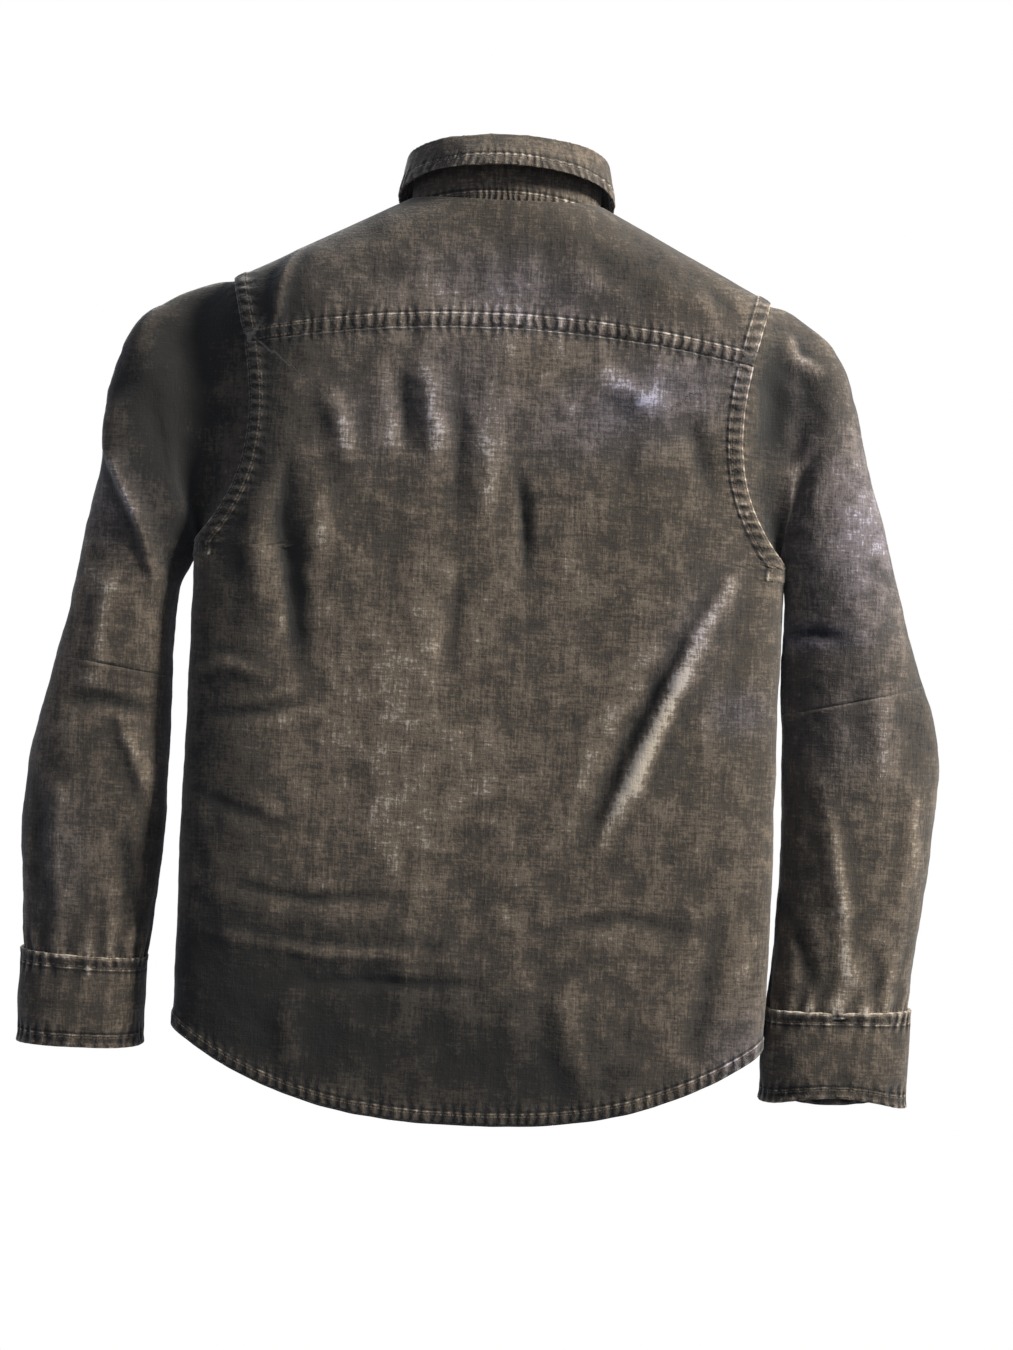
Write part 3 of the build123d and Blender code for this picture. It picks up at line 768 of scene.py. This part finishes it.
LEFT_RINGS = [
    ((241, -290), (252, -74), 30), ((245, -296), (300, -104), 42), ((252, -308), (322, -152), 43),
    ((261, -330), (331, -235), 41), ((263, -390), (356, -370), 38), ((263, -470), (376, -460), 36),
    ((264, -542), (382, -530), 34), ((270, -610), (377, -603), 31), ((273, -642), (374, -637), 30),
]
RIGHT_RINGS = [
    ((241, -290), (252, -76), 30), ((246, -296), (290, -118), 42), ((250, -310), (309, -190), 43),
    ((250, -335), (330, -262), 41), ((249, -385), (357, -350), 38), ((252, -455), (384, -430), 36),
    ((255, -540), (381, -515), 34), ((254, -610), (371, -600), 31), ((250, -660), (366, -656), 30),
]
LEFT_FOLDS = [
    ([(322, -148), (316, -217), (287, -280), (269, -344)], 8, 7, 0.5),
    ([(288, -147), (274, -205), (256, -263)], 14, -8, 1),
    ([(350, -423), (309, -421), (268, -431)], 5, -3, 1),
    ([(302, -425), (286, -467), (268, -517)], 8, 4, 0.6),
    ([(297, -515), (287, -565), (281, -623)], 8, -3.5, 1),
    ([(340, -472), (347, -538), (342, -604)], 9, 3, 1),
    ([(312, -310), (319, -375), (313, -424)], 9, 3, 1),
    ([(369, -471), (360, -554), (360, -627)], 8, -2.5, 1),
    ([(260, -90), (286, -106), (312, -137)], 10, 4, 1),
]
# Painted shade on the left sleeve, deepest under its fold at the shoulder; negative strengths paint light.
LEFT_PAINTED_SHADE = [
    (268, -172, 45, 78, 0, 1.5),
    (232, -100, 33, 41, 0, 1.2),
    (253, -279, 20, 49, 0, 1),
    (324, -309, 25, 57, 0, -0.7),
    (348, -390, 25, 49, 0, -0.3),
    (282, -557, 16, 74, 0, 0.6),
    (314, -523, 25, 66, 0, -0.35),
    (356, -554, 16, 74, 0, 0.3),
]
# Painted bluish sheen on the left sleeve.
LEFT_PAINTED_SHEEN = [
    (309, -260, 33, 41, 0, 0.5),
    (340, -555, 25, 66, 0, 0.3),
]
RIGHT_FOLDS = [
    ([(239, -89), (243, -114), (271, -128)], 7, 5, 0.6),
    ([(218, -125), (229, -154), (223, -195)], 8, -5, 1),
    ([(269, -173), (247, -213), (247, -270), (245, -336)], 8, 5, 0.6),
    ([(249, -341), (271, -340), (294, -344)], 4, -3, 1),
    ([(281, -452), (301, -544), (313, -635)], 9, 4, 0.6),
    ([(252, -550), (274, -600), (288, -650)], 7, -3.5, 1),
    ([(359, -456), (360, -522), (352, -587)], 7, 3, 1),
    ([(332, -586), (334, -627), (329, -656)], 7, -3, 1),
    ([(318, -356), (331, -422), (337, -472)], 10, 2.5, 1),
    ([(306, -273), (321, -290), (337, -297)], 6, -2, 1),
]
# Painted shade on the right sleeve, deepest under its fold at the shoulder; negative strengths paint light.
RIGHT_PAINTED_SHADE = [
    (234, -146, 29, 49, 0, 1),
    (307, -240, 41, 57, 0, -0.9),
    (295, -158, 33, 33, 0, 0.2),
    (254, -500, 25, 131, 0, 0.4),
    (309, -552, 41, 82, 0, -0.35),
    (330, -619, 33, 49, 0, -0.3),
    (366, -383, 16, 66, 0, 0.4),
    (233, -253, 16, 41, 0, 0.7),
]
# Painted bluish sheen on the right sleeve.
RIGHT_PAINTED_SHEEN = [
    (306, -257, 49, 90, 0, 1),
    (270, -343, 37, 11, 0, 1),
    (299, -420, 49, 49, 0, 0.35),
    (246, -147, 25, 49, 0, 0.4),
]
sleeve("left", LEFT_RINGS, LEFT_FOLDS, LEFT_PAINTED_SHADE, LEFT_PAINTED_SHEEN, 1.3, -395)
sleeve("right", RIGHT_RINGS, RIGHT_FOLDS, RIGHT_PAINTED_SHADE, RIGHT_PAINTED_SHEEN, 6.6, -395)


def cuff(side, top, bottom, inner, outer, half, arch, seed):
    """A doubled band closed round the wrist. arch is how far the back of its lower edge curves up."""
    sign = 1 if side == "left" else -1
    t = np.linspace(0, 1, int((top - bottom) / 2.4))
    loops = []
    for share in t:
        z = bottom + (top - bottom) * share
        grow = 1.2 * math.sin(math.pi * share)
        loop = ring((inner - grow, z), (outer + grow, z + 4 * share), half + grow, AROUND, 2.6)
        across = np.clip(1 - ((loop[:, 0] - (inner + outer) / 2) / 60) ** 2, 0, 1)
        loop[:, 2] += (1 - share) * arch * np.sin(AROUND) * across
        loops.append(loop)
    P = np.stack(loops)
    edge = np.minimum(t, 1 - t)[:, None] * (top - bottom) + 0 * P[..., 0]
    girth = np.arange(len(AROUND))[None, :] * 1.65 + 0 * P[..., 0]
    n = pointing_out(normals_of(P, closed=True), P, 5, P[5].mean(axis=0))
    pucker = np.sin(girth * 2 * np.pi / 9 + noise_at(P, 25, 1, seed) * 4) * 0.7
    pucker = pucker * np.exp(-(((edge - 9) / 7) ** 2))
    total = pucker + noise_at(P, 34, 2, seed) * 1.3 + 1.6 * np.exp(-((edge / 4) ** 2))
    Q = P + n * total[..., None]
    Q[:, -1] = Q[:, 0]
    mirror = [sign, 1, 1]
    # pale on ridges and the rolled edges, painted shade in hollows
    worn_and_shaded = np.clip((total - smooth(total, 10)) * 0.9, -1, 1)
    facts = {"rest": P * mirror, "seam_d": edge - 4.5, "seam_s": girth, "wear_and_shade": worn_and_shaded}
    obj = piece(f"cuff_{side}_cloth", [(Q * mirror, sign < 0, facts)], DENIM, 3.0)
    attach(obj, f"sleeve_lower_{side}")
    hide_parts(f"cuff_{side}")


cuff("left", -637, -710, 274, 377, 30, 0, 4.4)
cuff("right", -655, -732, 248, 369, 30, 9, 9.1)


# ---------------------------------------------------------------- pieces shaped from their solids
def rim(P):
    """For points round the neck: how far each is above the lowest at its angle."""
    slices = 120
    angle = ((np.arctan2(P[:, 0], P[:, 1]) + np.pi) / (2 * np.pi) * slices).astype(int) % slices
    edge = np.full(slices, 1e9)
    np.minimum.at(edge, angle, P[:, 2])
    edge = np.minimum(edge, np.roll(edge, 1))
    return P[:, 2] - edge[angle]


def border(P):
    """For points on a flat patch: how far each is from the patch's sides and ends."""
    low, high = P.min(axis=0), P.max(axis=0)
    return np.minimum.reduce([P[:, 0] - low[0], high[0] - P[:, 0], P[:, 2] - low[2], high[2] - P[:, 2]])


def soft(name, node, body, material, grain, seed, strength, seams, shift=(0, 0, 0), rounding=1):
    """A cloth piece that starts from a copy of its solid, rounded at its edges and rumpled."""
    bm = bmesh.new()
    bm.from_mesh(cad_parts[node].data)
    bmesh.ops.remove_doubles(bm, verts=bm.verts, dist=1e-6)
    mesh = bpy.data.meshes.new(name)
    bm.to_mesh(mesh)
    bm.free()
    obj = bpy.data.objects.new(name, mesh)
    bpy.context.scene.collection.objects.link(obj)
    grid = obj.modifiers.new("grid", "REMESH")
    grid.mode, grid.voxel_size = "VOXEL", grain * MM
    ease = obj.modifiers.new("ease", "SMOOTH")
    ease.factor, ease.iterations = 0.5, rounding
    bake(obj)
    mesh = obj.data
    count = len(mesh.vertices)
    P, N = np.empty(count * 3), np.empty(count * 3)
    mesh.vertices.foreach_get("co", P)
    mesh.vertices.foreach_get("normal", N)
    P, N = P.reshape(-1, 3) * 1000, N.reshape(-1, 3)
    d, s = seams(P)
    waves = np.sin(s * 2 * np.pi / PUCKER + noise_at(P, 20, 1, seed) * 3)
    pucker = waves * np.exp(-(((d - 3) / 7) ** 2)) * 0.5
    relief = noise_at(P, 30, 2, seed) * 1.1 + noise_at(P, 9, 1, seed) * 0.3 + pucker
    swell = relief[:, None] * strength * N
    mesh.vertices.foreach_set("co", ((P + swell + np.array(shift)) * MM).ravel())
    facts = {"seam_d": d, "seam_s": s, "wear_and_shade": relief * 0.25 * strength, "painted_sheen": 0 * d, "painted_shade": 0 * d}
    store_facts(mesh, P * MM, facts)
    mesh.materials.clear()
    mesh.materials.append(material)
    mesh.shade_smooth()
    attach(obj, body)
    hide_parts(node)
    return obj


def collar_seams(P):
    return rim(P) - 4.5, np.arctan2(P[:, 0], P[:, 1]) * 80


def stand_seams(P):
    return rim(P) - 4.0, np.arctan2(P[:, 0], P[:, 1]) * 80


def patch_seams(P):
    return border(P) - 3.5, P[:, 0] + P[:, 2]


soft("collar_leaf_cloth", "collar_leaf", "collar_leaf", DENIM, 1.0, 2.4, 0.9, collar_seams,
     rounding=2)
soft("collar_stand_cloth", "collar_stand", "torso", DENIM, 1.1, 3.3, 0.5, stand_seams,
     rounding=2)
soft("hanger_tape", "hanger_loop", "torso", TAPE, 0.6, 7.1, 0.3, lambda P: (P[:, 2] - 8.0, P[:, 0]),
     rounding=2)
soft("neck_label_cloth", "neck_label", "torso", LABEL, 0.4, 1.1, 0.25,
     lambda P: (border(P) - 1.0, P[:, 0]))
for side in ("left", "right"):
    for node, body, grain, seed in (
        (f"pocket_{side}", "torso", 0.9, 2.9),
        (f"pocket_flap_{side}", f"pocket_flap_{side}", 0.7, 4.9),
        (f"cuff_tab_{side}", f"cuff_tab_{side}", 0.8, 5.2),
    ):
        soft(f"{node}_cloth", node, body, DENIM, grain, seed, 0.25, patch_seams)
    soft(f"sleeve_vent_{side}_cloth", f"sleeve_vent_{side}", f"sleeve_lower_{side}", DENIM,
         0.8, 6.1, 0.25, lambda P: (border(P) - 3.0, P[:, 2]), shift=(0, -1.6, 0))

# the yoke's inner layer
lining_grids = []
LINING_DEPTH = 3.6    # how far inside the yoke it lies
for side_of, spans in ((1, [U_BACK]), (-1, [u_front, -u_front[::-1]])):
    for u in spans:
        P, lateral = body_grid(side_of, u, T_HIGH[2:-2])
        n = normals_of(P)
        out = np.sign(np.sum(n[..., 1] * P[..., 1]))
        rumple = noise_at(P, 40, 2, 3.0) * 0.4
        Q = P - n * out * (LINING_DEPTH + rumple)[..., None]
        lining_grids.append((Q, side_of < 0, {"rest": P, "wear_and_shade": rumple * 0.3}))
lining = piece("yoke_lining_cloth", lining_grids, INNER, 0.8)
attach(lining, "torso")
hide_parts("yoke_lining")

for node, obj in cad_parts.items():
    if "snap" in node:
        obj.data.materials.clear()
        obj.data.materials.append(SNAP)


# ---------------------------------------------------------------- light, white ground and camera
world = bpy.data.worlds.new("world")
bpy.context.scene.world = world
world.use_nodes = True
world.node_tree.nodes["Background"].inputs[0].default_value = (0.8, 0.85, 1, 1)
world.node_tree.nodes["Background"].inputs[1].default_value = 0.3


def area_light(name, at, target, size, power, colour):
    data = bpy.data.lights.new(name, "AREA")
    data.size, data.energy, data.color = size, power, colour
    lamp = bpy.data.objects.new(name, data)
    lamp.location = at
    lamp.rotation_euler = (Vector(target) - Vector(at)).to_track_quat("-Z", "Y").to_euler()
    bpy.context.scene.collection.objects.link(lamp)


MIDDLE = (-0.0183, 0.04, -0.3867)    # the point of the back's cloth that is in the middle of the picture
area_light("key", (-1.7, 0.7, 0.75), MIDDLE, size=0.4, power=110, colour=(1, 0.95, 0.86))
area_light("fill", (0.9, 2.2, 0.5), MIDDLE, size=1.6, power=13, colour=(0.86, 0.92, 1))
area_light("front_fill", (0.8, -2.2, 0.8), MIDDLE, size=1.6, power=40, colour=(1, 0.98, 0.95))

bpy.ops.mesh.primitive_uv_sphere_add(segments=32, ring_count=16, radius=9, location=(0, 0, -0.4))
backdrop = bpy.context.object
backdrop.name = "backdrop"
white = bpy.data.materials.new("white")
white.use_nodes = True
white.node_tree.nodes.clear()
glow = white.node_tree.nodes.new("ShaderNodeEmission")
glow.inputs[0].default_value = (1, 1, 1, 1)
out = white.node_tree.nodes.new("ShaderNodeOutputMaterial")
white.node_tree.links.new(glow.outputs[0], out.inputs[0])
backdrop.data.materials.append(white)
backdrop.visible_diffuse = backdrop.visible_glossy = backdrop.visible_shadow = False
backdrop.visible_transmission = False

ROLL = 2.7            # degrees by which the garment leans in the picture
DISTANCE = 1.6
IN_VIEW = 1.107       # height that the picture covers at the back's cloth
camera = bpy.data.objects.new("camera", bpy.data.cameras.new("camera"))
camera.data.sensor_width = 36
camera.data.lens = 36 * (DISTANCE - MIDDLE[1]) / IN_VIEW
camera.location = (MIDDLE[0], DISTANCE, MIDDLE[2])
camera.rotation_euler = (math.radians(90), math.radians(-ROLL), math.radians(180))
camera.data.dof.use_dof = False
bpy.context.scene.collection.objects.link(camera)
bpy.context.scene.camera = camera
bpy.context.scene.view_settings.view_transform = "Standard"
